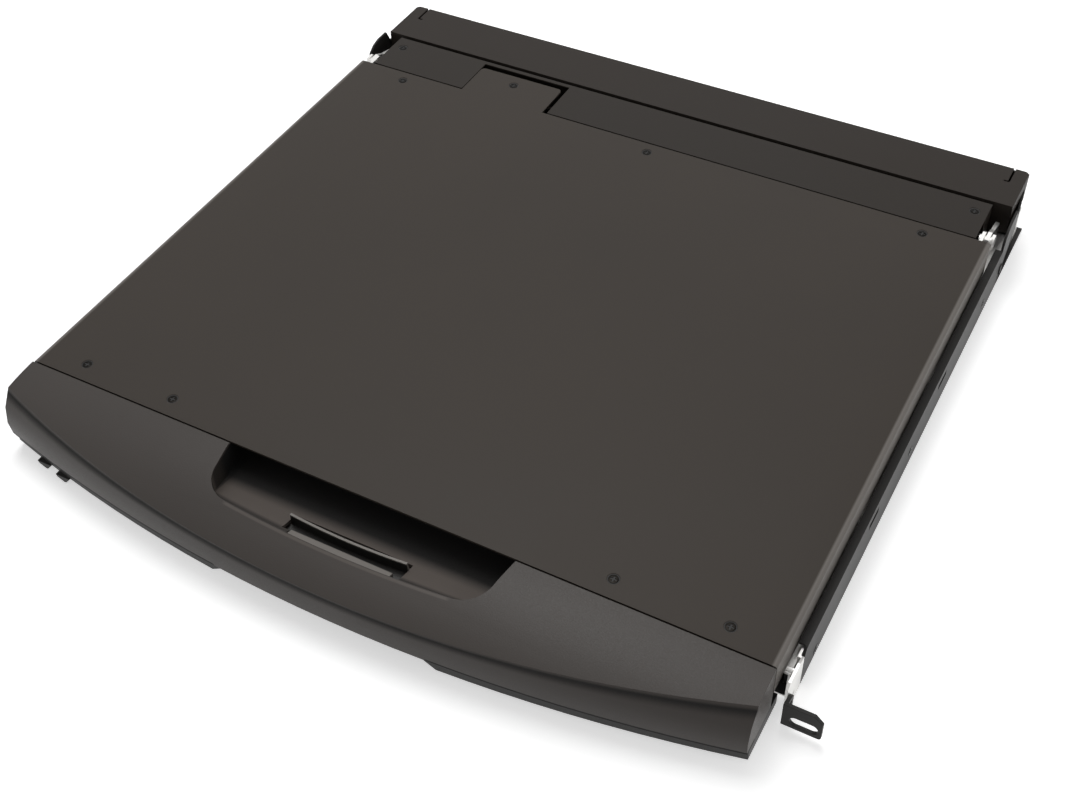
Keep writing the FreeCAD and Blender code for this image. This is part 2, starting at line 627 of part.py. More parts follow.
def hinge_bracket():
    """Tray side of the right hinge: inner plate, bridge over the slide and bearing plate."""
    wall = TRAY_HALF - SHEET
    low, high = LID_UNDER - 1.2, LID_UNDER + 0.4
    y0, y1 = LID_REAR + 3, LID_REAR + 31
    inner = box(wall - 1.6, wall, LID_REAR, y1 + 1, 4.0, high)
    bridge = box(wall - 1.6, TRAY_HALF + 5.4, y0, y1, low, high)
    cheek_x = TRAY_HALF + 3.0
    bearing = prism([(y0, low), (y1, low), (y1, AXIS_Z - 2), (y1 - 11, AXIS_Z + 0.5),
                     (AXIS_Y + 4, AXIS_Z + 3.6), (AXIS_Y - 4, AXIS_Z + 3.6), (y0, AXIS_Z - 2)],
                    "x", cheek_x, 2.4)
    x, y = STRIP_SCREW
    shelf = box(x - 4, wall, y - 5, y1, low, high)
    post = box(x - 4.0, x + 2.4, y - 4.8, y + 5, high, INNER)
    bore = disc(PIN_R + RUN_CLEAR, (TRAY_HALF - 8, AXIS_Y, AXIS_Z), (1, 0, 0), 20)
    return cut(join([inner, bridge, bearing, shelf, post]), [bore])


def keeper():
    """Bracket on the deck that the latch nose faces."""
    return join([box(-16, 16, KEEPER_Y - 6.0, KEEPER_Y, DECK_TOP, DECK_TOP + 1.2),
                 box(-16, 16, KEEPER_Y - SHEET, KEEPER_Y, DECK_TOP + 1.2, DECK_TOP + 3.6)])


# Slides

def channel(x_web, x_lip, z0, z1, y0, y1, t):
    """A channel with its web on the outside and its two flanges inward."""
    web = box(x_web - t, x_web, y0, y1, z0, z1)
    low = box(x_lip, x_web, y0, y1, z0, z0 + t)
    high = box(x_lip, x_web, y0, y1, z1 - t, z1)
    return join([web, low, high])


def slide_outer():
    """Fixed member of the right slide."""
    rail = channel(SLIDE_OUT, TRAY_HALF + 4.4, SLIDE_LOW, SLIDE_TOP, SLIDE_FRONT, SLIDE_REAR, 1.0)
    stop = box(TRAY_HALF + 6.5, SLIDE_OUT - 0.9, SLIDE_REAR - 3, SLIDE_REAR - 1,
               SLIDE_LOW + 1, SLIDE_TOP - 1)
    pads = [box(SLIDE_OUT, RAIL_IN, y - 12, y + 12, SLIDE_LOW + 3, SLIDE_TOP - 3) for y in (180, 310)]
    return join([rail, stop] + pads)


def slide_middle():
    """Middle member of the right slide."""
    rail = channel(TRAY_HALF + 7.8, TRAY_HALF + 2.4, SLIDE_LOW + 2, SLIDE_TOP - 2, 20.0,
                   SLIDE_REAR - 5, 1.2)
    mid = (SLIDE_LOW + SLIDE_TOP) / 2
    holes = [box(TRAY_HALF + 2, TRAY_HALF + 10, y - 4, y + 4, mid - 1.5, mid + 1.5)
             for y in (60, 180, 300)]
    return cut(rail, holes)


def slide_inner():
    """Inner member of the right slide, face to face with the tray wall."""
    low, high = SLIDE_LOW + 4.6, SLIDE_TOP - 4.6
    web = box(TRAY_HALF, TRAY_HALF + 1.2, 12, LID_REAR + 26, low, high)
    flanges = [box(TRAY_HALF, TRAY_HALF + 5.2, 12, LID_REAR + 26, z, z + 1.2)
               for z in (low, high - 1.2)]
    return join([web] + flanges)


def ball_strips():
    """Ball retainers of the right slide, with their rows of balls as one bead."""
    strips = []
    for y0 in (40.0, 250.0):
        inner_x, outer_x = TRAY_HALF + 4.6, TRAY_HALF + 4.8
        for z in (SLIDE_LOW + 3.25, SLIDE_TOP - 4.55):
            strips.append(box(inner_x, inner_x + 1.8, y0, y0 + 100, z, z + 1.3))
        for z in (SLIDE_LOW + 1.05, SLIDE_TOP - 2.0):
            strips.append(box(outer_x, outer_x + 2.6, y0, y0 + 100, z, z + 0.95))
    return Part.makeCompound(strips)


def slide_front_plate():
    """Bright front end of the right slide: set outward between the ear and the rail."""
    step = RAIL_FRONT - 2.0
    face = RAIL_OUT + 0.3
    front = prism([(3.0, SLIDE_LOW), (step, SLIDE_LOW), (step, RAIL_TOP - 2.2), (step - 6, RAIL_TOP),
                   (5.5, RAIL_TOP), (3.0, RAIL_TOP - 3)], "x", face - 1.2, 1.2)
    joggle = box(SLIDE_OUT, face - 1.2, step - 1.2, step, SLIDE_LOW, RAIL_TOP - 2.2)
    rear = box(SLIDE_OUT, RAIL_IN, step - 1.2, 60.0, SLIDE_LOW, RAIL_TOP - 2.2)
    tie = box(SLIDE_OUT, face - 1.2, 16.0, 18.0, SLIDE_LOW, SLIDE_TOP - 2)
    pin = turned(post(0, 0, 1.4, 0, 4.0), (RAIL_IN - 3.2, 13.6, RAIL_TOP - 2.1), (1, 0, 0))
    slit = prism([(9.5, 3.4), (10.9, 3.0), (14.5, 9.6), (13.1, 10.2)], "x", face - 2, 3)
    return cut(join([front, joggle, rear, tie, pin]), [slit])


# Frame that is fixed to the rack

def rail():
    """Black outer rail on the right with its bottom flange and its lip over the slide."""
    web = box(RAIL_IN, RAIL_OUT, RAIL_FRONT, CHEEK_FRONT, 0, RAIL_TOP)
    flange = box(RAIL_IN - 10.0, RAIL_OUT, RAIL_FRONT, BOX_REAR - SHEET - 0.3, 0, SHEET)
    lip = box(LID_HALF + 0.9, RAIL_IN, RAIL_FRONT + 3, CHEEK_FRONT, RAIL_TOP - SHEET, RAIL_TOP)
    web = soften(web, 4.0, lambda e: e.CenterOfMass.y < RAIL_FRONT + 0.1
                 and e.CenterOfMass.z > RAIL_TOP - 0.1 and e.Length < 2)
    z = SLIDE_TOP - 1
    slots = [box(RAIL_IN - 1, RAIL_OUT + 1, y - 7, y + 7, z - 2, z + 2) for y in (120.0, 230.0)]
    return cut(join([web, flange, lip]), slots)


def cheek():
    """Side plate that joins the rear box to the rail."""
    rear = BOX_REAR - 5.0
    profile = [(CHEEK_FRONT, SHEET), (rear, SHEET), (rear, CHEEK_LOW_TOP - 1), (rear - 1, CHEEK_LOW_TOP),
               (BOX_FRONT + 3, CHEEK_LOW_TOP), (BOX_FRONT - 1, CHEEK_TOP), (CHEEK_FRONT + 13, CHEEK_TOP),
               (CHEEK_FRONT + 7, CHEEK_TOP - 1.5), (CHEEK_FRONT + 2, CHEEK_TOP - 5),
               (CHEEK_FRONT, CHEEK_TOP - 10)]
    plate = prism(profile, "x", RAIL_IN, RAIL_SHEET)
    spacer = box(BOX_HALF, RAIL_IN, BOX_FRONT + 8, BOX_FRONT + 26, LID_UNDER + 2, LID_UNDER + 8)
    lug = box(RAIL_OUT, RAIL_OUT + 0.8, CHEEK_FRONT + 0.6, CHEEK_FRONT + 4.6, 9.0, 14.5)
    return join([plate, spacer, lug])


def rack_ear(corner):
    """Slotted ear, its outer corner cut back, with a leg that lies on the bright slide end."""
    out = EAR_SPAN / 2
    near, low, top = RAIL_OUT + 0.3, EAR_LOW, TRAY_TOP
    flat = prism([(near, low), (out, low), (out, top - corner), (out - corner, top), (near, top)],
                 "y", -2.0, 2.0)
    flat = soften(flat, 1.6, lambda e: abs(e.CenterOfMass.y + 1.0) < 0.1 and e.Length < 2.1
                  and e.CenterOfMass.x > out - 0.1)
    leg = prism([(-2.0, low), (7.5, low), (7.5, top - 4.0), (5.0, top - 1.5), (-2.0, top)],
                "x", near, 2.0)
    x = SLOT_SPACING / 2
    slot = join([disc(3.25, (x - 3.75, -3, SLOT_Z), (0, 1, 0), 4),
                 disc(3.25, (x + 3.75, -3, SLOT_Z), (0, 1, 0), 4),
                 box(x - 3.75, x + 3.75, -3, 1, SLOT_Z - 3.25, SLOT_Z + 3.25)])
    return cut(join([flat, leg]), [slot])


def rear_box_shell():
    """Open-topped electronics box with cut-outs for its connectors."""
    t, shoulder, low_half = SHEET, LID_UNDER - 0.2, BOX_LOW_HALF
    low = box(-low_half, low_half, BOX_FRONT, BOX_REAR, t, INNER)
    wings = box(-BOX_HALF, BOX_HALF, BOX_FRONT, BOX_REAR, shoulder, INNER)
    hollow = join([box(t - low_half, low_half - t, BOX_FRONT + t, BOX_REAR - t, 2 * t, HEIGHT),
                   box(t - BOX_HALF, BOX_HALF - t, BOX_FRONT + t, BOX_REAR - t, shoulder + t, HEIGHT)])
    y = BOX_REAR - 2
    cuts = [box(INLET_X - 14.2, INLET_X + 14.2, y, y + 3, 10.9, 31.1),
            box(ROCKER_X - 7.1, ROCKER_X + 7.1, y, y + 3, 10.4, 31.6),
            box(-60.3, -43.7, y, y + 3, 9.8, 19.2), box(10.9, 23.1, y, y + 3, 7.5, 18.6)]
    lead = box(-140, -76, BOX_FRONT - 1, BOX_FRONT + 2, 8, 20)
    vents = []
    x = 60.0
    while x < low_half - 30:
        vents.append(box(x - 1.75, x + 1.75, y, y + 3, 12, 30))
        x += 11
    foot = box(low_half - 1.2, low_half, BOX_FRONT, y, 0, t)
    return cut(join([join([low, wings]).cut(hollow), foot, mirror(foot)]), cuts + [lead] + vents)


def rear_box_cover():
    """Cover of the rear box with the fold slits at both ends."""
    top = box(-BOX_HALF, BOX_HALF, BOX_FRONT, BOX_REAR, INNER, HEIGHT)
    top = soften(top, 3.0, lambda e: upright(e) and e.CenterOfMass.y > BOX_REAR - 0.1)
    cuts = []
    for s in (-1, 1):
        x = s * (BOX_HALF - 9.0)
        cuts.append(box(x - 0.6, x + 0.6, BOX_REAR - 14, BOX_REAR + 1, INNER - 1, HEIGHT + 1))
        cuts.append(box(min(x - s * 3.0, x), max(x - s * 3.0, x), BOX_REAR - 14.6, BOX_REAR - 13.6,
                        INNER - 1, HEIGHT + 1))
    return cut(top, cuts)


def interface_board():
    """Board in the rear box on moulded posts."""
    low, y0, y1 = 6.4, BOX_FRONT + 2.5, BOX_REAR - 3
    plate = box(-85, 60, y0, y1, low, low + 1.6)
    posts = [box(x - 2.5, x + 2.5, y - 2.5, y + 2.5, 2 * SHEET, low)
             for x in (-78, 53) for y in (y0 + 4, y1 - 4)]
    chips = [box(-30, -16, y0 + 8, y0 + 20, low + 1.6, low + 3.2),
             box(35, 47, y0 + 6, y0 + 16, low + 1.6, low + 2.8)]
    return join([plate] + posts + chips)


def video_port():
    """Fifteen-pin video socket: flange, shell and jack posts."""
    y = BOX_REAR
    body = box(-60, -44, y - 10, y - 1.2, 8.0, 19.0)
    shell = box(-60, -44, y - 1.4, y + 5.5, 10.1, 18.9)
    flange = box(-67.4, -36.6, y, y + 0.8, 8.2, 20.6)
    posts = [turned(post(0, 0, 2.6, 0, 4.8, 6), (x, y, 14.5), (0, 1, 0)) for x in (-64.5, -39.5)]
    mouth = box(-59.2, -44.8, y + 1.0, y + 6.0, 10.9, 18.1)
    return cut(join([body, shell, flange] + posts), [mouth])


def usb_port():
    """Square device socket."""
    y = BOX_REAR
    body = box(11, 23, y - 15, y + 0.6, 8.0, 18.5)
    return cut(body, [box(12.6, 21.4, y - 8, y + 1, 9.4, 17.0)]).fuse(
        box(14.4, 19.6, y - 8, y - 0.4, 11.6, 14.8)).removeSplitter()


def power_inlet():
    """Appliance inlet with its three blades."""
    m, y = INLET_X, BOX_REAR
    flange = box(m - 20, m + 20, y, y + 1.8, 9.0, 33.0)
    body = box(m - 14, m + 14, y - 20, y, 11, 31)
    mouth = box(m - 12, m + 12, y - 16, y + 3, 13, 29)
    blades = [box(x - 1, x + 1, y - 17, y - 2.5, z - 2, z + 2)
              for x, z in ((m - 7, 19), (m, 23), (m + 7, 19))]
    return join([cut(join([flange, body]), [mouth])] + blades)


ROCKER = (ROCKER_X, BOX_REAR - 1.0, 21.0)


def rocker_frame():
    """Frame of the power switch."""
    x, y, z = ROCKER
    frame = box(x - 8.5, x + 8.5, BOX_REAR, BOX_REAR + 1.4, z - 12, z + 12)
    can = box(x - 7, x + 7, BOX_REAR - 14, BOX_REAR, z - 10.5, z + 10.5)
    mouth = box(x - 5.6, x + 5.6, BOX_REAR - 9, BOX_REAR + 3, z - 9.0, z + 9.0)
    axle = disc(1.2, (x - 6.0, y, z), (1, 0, 0), 12.0)
    return join([cut(join([frame, can]), [mouth]), axle])


def power_rocker():
    """Rocker on its axle, drawn level."""
    x, y, z = ROCKER
    face = [(y - 4.0, z - 7.8), (y + 3.4, z - 7.4), (y + 1.9, z), (y + 3.4, z + 7.4), (y - 4.0, z + 7.8)]
    body = prism(face, "x", x - 5.3, 10.6)
    return body.cut(disc(1.25, (x - 7, y, z), (1, 0, 0), 14))


def both(shape):
    """One node with the right pieces and their mirror images."""
    return Part.makeCompound(shape.Solids + mirror(shape).Solids)


def pair(name, shape):
    """The right piece and its mirror image."""
    return {"right_" + name: shape, "left_" + name: mirror(shape)}


def assembly():
    """Every piece by its name."""
    parts = {
        "lid_cover": lid_cover(), "front_bezel": front_bezel(), "screen_frame": screen_frame(),
        "lcd_panel": lcd_panel(), "screen_glass": screen_glass(), "osd_board": osd_board(),
        "cable_clamp": cable_clamp(), "release_latch": release_latch(),
        "tray_pan": tray_pan(), "tray_front_lip": tray_front_lip(), "keyboard_deck": keyboard_deck(),
        "key_base_plate": key_base_plate(), "touchpad": touchpad(), "pad_board": pad_board(),
        "left_pad_button": pad_button(-1), "right_pad_button": pad_button(1),
        "hinge_strip": hinge_strip(), "latch_keeper": keeper(),
        "rear_box_shell": rear_box_shell(), "rear_box_cover": rear_box_cover(),
        "interface_board": interface_board(), "video_port": video_port(), "usb_port": usb_port(),
        "power_inlet": power_inlet(), "rocker_frame": rocker_frame(),
        "power_rocker": power_rocker(), "ball_strips": both(ball_strips()),
    }
    parts.update(pair("hinge_leaf", hinge_leaf()))
    parts.update(pair("hinge_bracket", hinge_bracket()))
    parts.update(pair("slide_outer", slide_outer()))
    parts.update(pair("slide_middle", slide_middle()))
    parts.update(pair("slide_inner", slide_inner()))
    parts.update(pair("slide_front_plate", slide_front_plate()))
    parts.update(pair("rail", rail()))
    parts.update(pair("cheek", cheek()))
    parts.update({"right_rack_ear": rack_ear(4.2), "left_rack_ear": mirror(rack_ear(8.2))})
    for row in range(6):
        parts["key_row_%d" % (row + 1)] = key_row(row)
    for i, x in enumerate(osd_places()):
        parts["osd_button_%d" % (i + 1)] = osd_button(x)
    return parts


def export_all():
    """Moves every piece so that the origin is at the ear slots, and writes it."""
    faces = 0
    for name, shape in assembly().items():
        moved = shape.copy()
        moved.translate(V(0, 0, -SLOT_Z))
        print(name, "valid", moved.isValid(), "solids", len(moved.Solids), "faces", len(moved.Faces))
        faces += len(moved.Faces)
        moved.exportStep("parts/" + name + ".step")
    print("faces in all", faces)


export_all()
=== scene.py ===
# %% [markdown]
# A rack console drawer is a flat steel and plastic sandwich: a lid with a screen in it, a keyboard tray
# below, and two telescopic slides that carry both out of a server rack. The sizes and the joints come
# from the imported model, which is loaded first and never moved. This script gives it edges that catch the
# light, keys with dished tops, and a finish for every material.

import json
import math

import bmesh
import bpy
from mathutils import Matrix, Vector

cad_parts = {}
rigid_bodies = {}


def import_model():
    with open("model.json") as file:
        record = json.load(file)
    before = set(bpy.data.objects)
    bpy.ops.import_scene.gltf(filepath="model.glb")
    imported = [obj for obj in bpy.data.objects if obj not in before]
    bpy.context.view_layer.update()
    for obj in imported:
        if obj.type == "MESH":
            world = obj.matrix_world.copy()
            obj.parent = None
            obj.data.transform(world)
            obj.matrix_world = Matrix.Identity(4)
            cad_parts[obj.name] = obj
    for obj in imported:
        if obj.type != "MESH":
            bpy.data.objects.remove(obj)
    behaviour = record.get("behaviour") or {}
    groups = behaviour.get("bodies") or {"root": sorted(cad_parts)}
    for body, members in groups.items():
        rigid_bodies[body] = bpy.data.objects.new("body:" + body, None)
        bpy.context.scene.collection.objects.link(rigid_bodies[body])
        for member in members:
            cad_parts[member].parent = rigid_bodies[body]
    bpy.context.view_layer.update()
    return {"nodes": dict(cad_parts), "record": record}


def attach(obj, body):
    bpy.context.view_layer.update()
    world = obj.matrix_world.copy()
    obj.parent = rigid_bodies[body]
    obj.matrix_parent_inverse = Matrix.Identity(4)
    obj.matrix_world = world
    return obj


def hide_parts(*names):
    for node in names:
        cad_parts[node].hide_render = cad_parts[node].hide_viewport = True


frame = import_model()
cad_nodes = frame["nodes"]

# %% [markdown]
# The photograph was taken from above the right front corner, with a normal lens. The camera position and
# its three axes were solved from the straight edges of the lid, so the picture lines up with the model.
# Blender's camera looks along its own minus Z, so the third column is the axis that points back.

# %% Camera
lens_mm = 49.52
camera_place = Vector((0.3133, -0.3712, 0.5890))
camera_right = Vector((0.87992, 0.47442, -0.02593))
camera_up = Vector((-0.32462, 0.64014, 0.69631))
camera_back = Vector((0.34695, -0.60427, 0.71727))

camera_data = bpy.data.cameras.new("photo_camera")
camera_data.lens = lens_mm
camera_data.sensor_width = 36.0
camera = bpy.data.objects.new("photo_camera", camera_data)
bpy.context.collection.objects.link(camera)
turn = Matrix((camera_right, camera_up, camera_back)).transposed()
camera.matrix_world = Matrix.Translation(camera_place) @ turn.to_4x4()
bpy.context.scene.camera = camera
print("camera stands", round(camera_place.length, 3), "m from the ear slots")

# %% [markdown]
# The drawer lies on a white table, lit as in a product studio: one large soft box nearly overhead and a
# little behind the drawer, a weaker one low behind it for the upper edges, and a small one on the right
# for the side of the rail. There is little light from the front, so the handle recess goes dark under the
# edge of the lid, and the bezel's finish darkens it further with painted shade. To the camera and in
# reflections the room is plain white.

# %% Floor and light
table_height = -0.0095
floor_size = 12.0


def floor_plane(height):
    """A wide plane for the table top."""
    mesh = bpy.data.meshes.new("table_top")
    bm = bmesh.new()
    bmesh.ops.create_grid(bm, x_segments=1, y_segments=1, size=floor_size / 2,
                          matrix=Matrix.Translation((0, 0.2, height)))
    bm.to_mesh(mesh)
    bm.free()
    table = bpy.data.objects.new("table_top", mesh)
    bpy.context.collection.objects.link(table)
    return table


def lamp(name, place, aim, size, watts):
    """A square soft lamp turned to a point."""
    data = bpy.data.lights.new(name, "AREA")
    data.size = size
    data.energy = watts
    light = bpy.data.objects.new(name, data)
    bpy.context.collection.objects.link(light)
    light.location = place
    light.rotation_euler = (Vector(aim) - Vector(place)).to_track_quat("-Z", "Y").to_euler()
    return light


table = floor_plane(table_height)
lamp("soft_top", (-0.30, 0.47, 1.50), (0, 0.0, 0), 0.9, 12.6)
lamp("soft_back", (-0.30, 2.3, 1.1), (0, 0.2, 0), 1.2, 1.1)
lamp("soft_right", (1.9, 0.3, 0.9), (0.15, 0.15, 0), 0.9, 4)

world = bpy.data.worlds.new("studio")
world.use_nodes = True
bpy.context.scene.world = world
bpy.context.scene.view_settings.view_transform = "Standard"
room_level = 0.24


def seen_directly(tree):
    """One for rays from the camera, a mirror or a clear pane, and zero for all others."""
    path = tree.nodes.new("ShaderNodeLightPath")
    first = tree.nodes.new("ShaderNodeMath")
    first.operation = "MAXIMUM"
    tree.links.new(path.outputs["Is Camera Ray"], first.inputs[0])
    tree.links.new(path.outputs["Is Glossy Ray"], first.inputs[1])
    last = tree.nodes.new("ShaderNodeMath")
    last.operation = "MAXIMUM"
    tree.links.new(first.outputs["Value"], last.inputs[0])
    tree.links.new(path.outputs["Is Transmission Ray"], last.inputs[1])
    return last.outputs["Value"]


def ranged(tree, value, low, high):
    """A value from 0 to 1 stretched to run from low to high."""
    node = tree.nodes.new("ShaderNodeMapRange")
    node.inputs["To Min"].default_value = low
    node.inputs["To Max"].default_value = high
    tree.links.new(value, node.inputs["Value"])
    return node.outputs["Result"]


sky = world.node_tree.nodes["Background"]
sky.inputs["Color"].default_value = (1, 1, 1, 1)
world.node_tree.links.new(ranged(world.node_tree, seen_directly(world.node_tree), room_level, 1.0),
                          sky.inputs["Strength"])

# %% [markdown]
# Every finish starts from the same short kit: a material with its node tree, a noise that reads Object
# coordinates, and small helpers for sums, soft steps and tones. Object coordinates stay with the piece
# when it moves, and they are in metres, so a noise scale of 1000 has a grain of about a millimetre.

# %% A small kit for finishes
def new_finish(name):
    """A material with its shader and its coordinates ready."""
    material = bpy.data.materials.new(name)
    material.use_nodes = True
    tree = material.node_tree
    shader = tree.nodes["Principled BSDF"]
    where = tree.nodes.new("ShaderNodeTexCoord")
    return material, tree, shader, where.outputs["Object"]


def grain(tree, where, scale, detail=2.0, stretch=(1, 1, 1)):
    """Noise over the piece, stretched along an axis if asked."""
    mapping = tree.nodes.new("ShaderNodeMapping")
    mapping.inputs["Scale"].default_value = stretch
    tree.links.new(where, mapping.inputs["Vector"])
    noise = tree.nodes.new("ShaderNodeTexNoise")
    noise.inputs["Scale"].default_value = scale
    noise.inputs["Detail"].default_value = detail
    tree.links.new(mapping.outputs["Vector"], noise.inputs["Vector"])
    return noise.outputs["Fac"]


def spread(tree, value, low, high):
    """A value from 0 to 1 turned into a narrow range."""
    node = tree.nodes.new("ShaderNodeMapRange")
    node.inputs["From Min"].default_value = 0.3
    node.inputs["From Max"].default_value = 0.7
    node.inputs["To Min"].default_value = low
    node.inputs["To Max"].default_value = high
    tree.links.new(value, node.inputs["Value"])
    return node.outputs["Result"]


def tint_between(tree, value, first, second):
    """A colour that drifts between two tones."""
    mix = tree.nodes.new("ShaderNodeMix")
    mix.data_type = "RGBA"
    mix.inputs["A"].default_value = (*first, 1)
    mix.inputs["B"].default_value = (*second, 1)
    tree.links.new(value, mix.inputs["Factor"])
    return mix.outputs["Result"]


def relief(tree, shader, value, strength, distance):
    """Bump from a value."""
    bump = tree.nodes.new("ShaderNodeBump")
    bump.inputs["Strength"].default_value = strength
    bump.inputs["Distance"].default_value = distance
    tree.links.new(value, bump.inputs["Height"])
    tree.links.new(bump.outputs["Normal"], shader.inputs["Normal"])


def add_math(tree, kind, first, second):
    """One sum on two values, each a socket or a number."""
    node = tree.nodes.new("ShaderNodeMath")
    node.operation = kind
    for place, value in enumerate((first, second)):
        if isinstance(value, (int, float)):
            node.inputs[place].default_value = value
        else:
            tree.links.new(value, node.inputs[place])
    return node.outputs["Value"]


def ramp(tree, value, start, end, low=0.0, high=1.0):
    """A soft step: low up to start, high from end on."""
    node = tree.nodes.new("ShaderNodeMapRange")
    node.interpolation_type = "SMOOTHSTEP"
    for name, number in (("From Min", start), ("From Max", end), ("To Min", low), ("To Max", high)):
        node.inputs[name].default_value = number
    tree.links.new(value, node.inputs["Value"])
    return node.outputs["Result"]


def axes(tree, where):
    """The three Object coordinates as values."""
    node = tree.nodes.new("ShaderNodeSeparateXYZ")
    tree.links.new(where, node.inputs["Vector"])
    return node.outputs["X"], node.outputs["Y"], node.outputs["Z"]


def dimmed(tree, colour, amount):
    """A colour socket multiplied by a value."""
    node = tree.nodes.new("ShaderNodeVectorMath")
    node.operation = "SCALE"
    tree.links.new(colour, node.inputs["Vector"])
    tree.links.new(amount, node.inputs["Scale"])
    return node.outputs["Vector"]


def shade(colour, amount):
    """The same colour made lighter or darker."""
    return tuple(c * amount for c in colour)


print("finish kit ready")

# %% [markdown]
# Powder coat is a baked paint. It is almost even, with a faint orange peel and a slow drift in gloss, and
# no grain that the eye can see from a metre away. Two noises do it: a broad one drifts the colour and the
# roughness, and a fine one gives the peel as bump.

# %% Powder-coated steel
def powder_coat(name, colour, roughness, lit_edge=None, edge_highlight=(0.185, 0.170, 0.156)):
    """Baked satin paint on sheet steel, with a painted highlight along its long side edges."""
    material, tree, shader, where = new_finish(name)
    broad = grain(tree, where, 9.0, 3.0)
    peel = grain(tree, where, 900.0, 2.0)
    tone = tint_between(tree, spread(tree, broad, 0.0, 1.0), shade(colour, 0.94), shade(colour, 1.05))
    # Painted highlight: a paler band along the long side edges, where the rounded fold catches the light.
    if lit_edge:
        x, y, z = axes(tree, where)
        across = add_math(tree, "ABSOLUTE", x, 0.0)
        lit_band = tree.nodes.new("ShaderNodeMix")
        lit_band.data_type = "RGBA"
        lit_band.inputs["B"].default_value = (*edge_highlight, 1)
        tree.links.new(tone, lit_band.inputs["A"])
        tree.links.new(ramp(tree, across, lit_edge - 0.0032, lit_edge - 0.0016), lit_band.inputs["Factor"])
        tone = lit_band.outputs["Result"]
    tree.links.new(tone, shader.inputs["Base Color"])
    tree.links.new(spread(tree, broad, roughness - 0.03, roughness + 0.04), shader.inputs["Roughness"])
    shader.inputs["Specular IOR Level"].default_value = 0.16
    relief(tree, shader, peel, 0.12, 0.0002)
    return material


cover_paint = powder_coat("cover_paint", (0.0425, 0.0350, 0.0288), 0.46, lit_edge=0.216)
strip_paint = powder_coat("strip_paint", (0.0215, 0.0172, 0.0138), 0.48)
box_paint = powder_coat("box_paint", (0.0235, 0.0185, 0.0150), 0.50)
rail_paint = powder_coat("rail_paint", (0.0210, 0.0198, 0.0188), 0.44)
tray_paint = powder_coat("tray_paint", (0.115, 0.115, 0.115), 0.5)
print("painted finishes", [m.name for m in (cover_paint, strip_paint, box_paint, rail_paint, tray_paint)])

# %% [markdown]
# The bezel and the deck are moulded in a tool whose face was roughened by sparks, so the plastic has a
# very fine even grain and no gloss. The grain is a fine noise bump, and a second, slower noise keeps the
# large faces from looking flat.

# %% Moulded plastic
def moulded(name, colour, roughness, grain_depth, grain_scale=1400.0):
    """Plastic with the fine grain of a spark-eroded mould."""
    material, tree, shader, where = new_finish(name)
    broad = grain(tree, where, 14.0, 3.0)
    fine = grain(tree, where, grain_scale, 3.0)
    tone = tint_between(tree, spread(tree, broad, 0.0, 1.0), shade(colour, 0.95), shade(colour, 1.05))
    tree.links.new(tone, shader.inputs["Base Color"])
    tree.links.new(spread(tree, fine, roughness - 0.05, roughness + 0.05), shader.inputs["Roughness"])
    shader.inputs["Specular IOR Level"].default_value = 0.4
    relief(tree, shader, fine, grain_depth, 0.0002)
    return material


tray_plastic = moulded("tray_plastic", (0.020, 0.019, 0.018), 0.5, 0.2)
deck_plastic = moulded("deck_plastic", (0.030, 0.030, 0.031), 0.5, 0.3)
pad_plastic = moulded("pad_plastic", (0.022, 0.022, 0.023), 0.36, 0.08)
key_plastic = moulded("key_plastic", (0.014, 0.014, 0.015), 0.42, 0.12)
switch_plastic = moulded("switch_plastic", (0.010, 0.010, 0.010), 0.25, 0.03)
panel_grey = moulded("panel_grey", (0.19, 0.20, 0.21), 0.45, 0.1)
print("moulded finishes ready")

# %% [markdown]
# The bezel's finish paints shade where light hardly reaches: a soft dark band just under the long crease,
# a dark line along the bezel's foot above the tray lip, and a nearly black back to the handle recess. It
# also paints light: a lighter floor in the recess and a pale highlight along its lip. They follow the
# form, so the finish works them out from Object coordinates: the crease is a bow in plan that lies on a
# falling crown, and the lip of the recess is a second, flatter bow.

# %% Bezel finish with painted shade and light on its crease and its recess
crease_middle, crease_end, lid_half = -0.0534, -0.0250, 0.216
crown_top, crown_fall = 0.0325, 4.1
crease_shade_tone = 0.06
bezel_foot = min(v.co.z for v in cad_nodes["front_bezel"].data.vertices)
finger_half = 0.061
rim_middle, rim_bow, rim_half = -0.0336, 0.0028, 0.0655
recess_half = 0.0900
floor_painted_light = 2.1


def bow(tree, value, half, depth, middle):
    """A parabola in plan: middle at the centre, and depth more at half on either side."""
    across = add_math(tree, "DIVIDE", value, half)
    square = add_math(tree, "MULTIPLY", across, across)
    return add_math(tree, "ADD", add_math(tree, "MULTIPLY", square, depth), middle)


def crown_drop(tree, y):
    """How far the crown of the bezel has fallen at a depth."""
    return add_math(tree, "MULTIPLY", add_math(tree, "MULTIPLY", y, y), crown_fall)


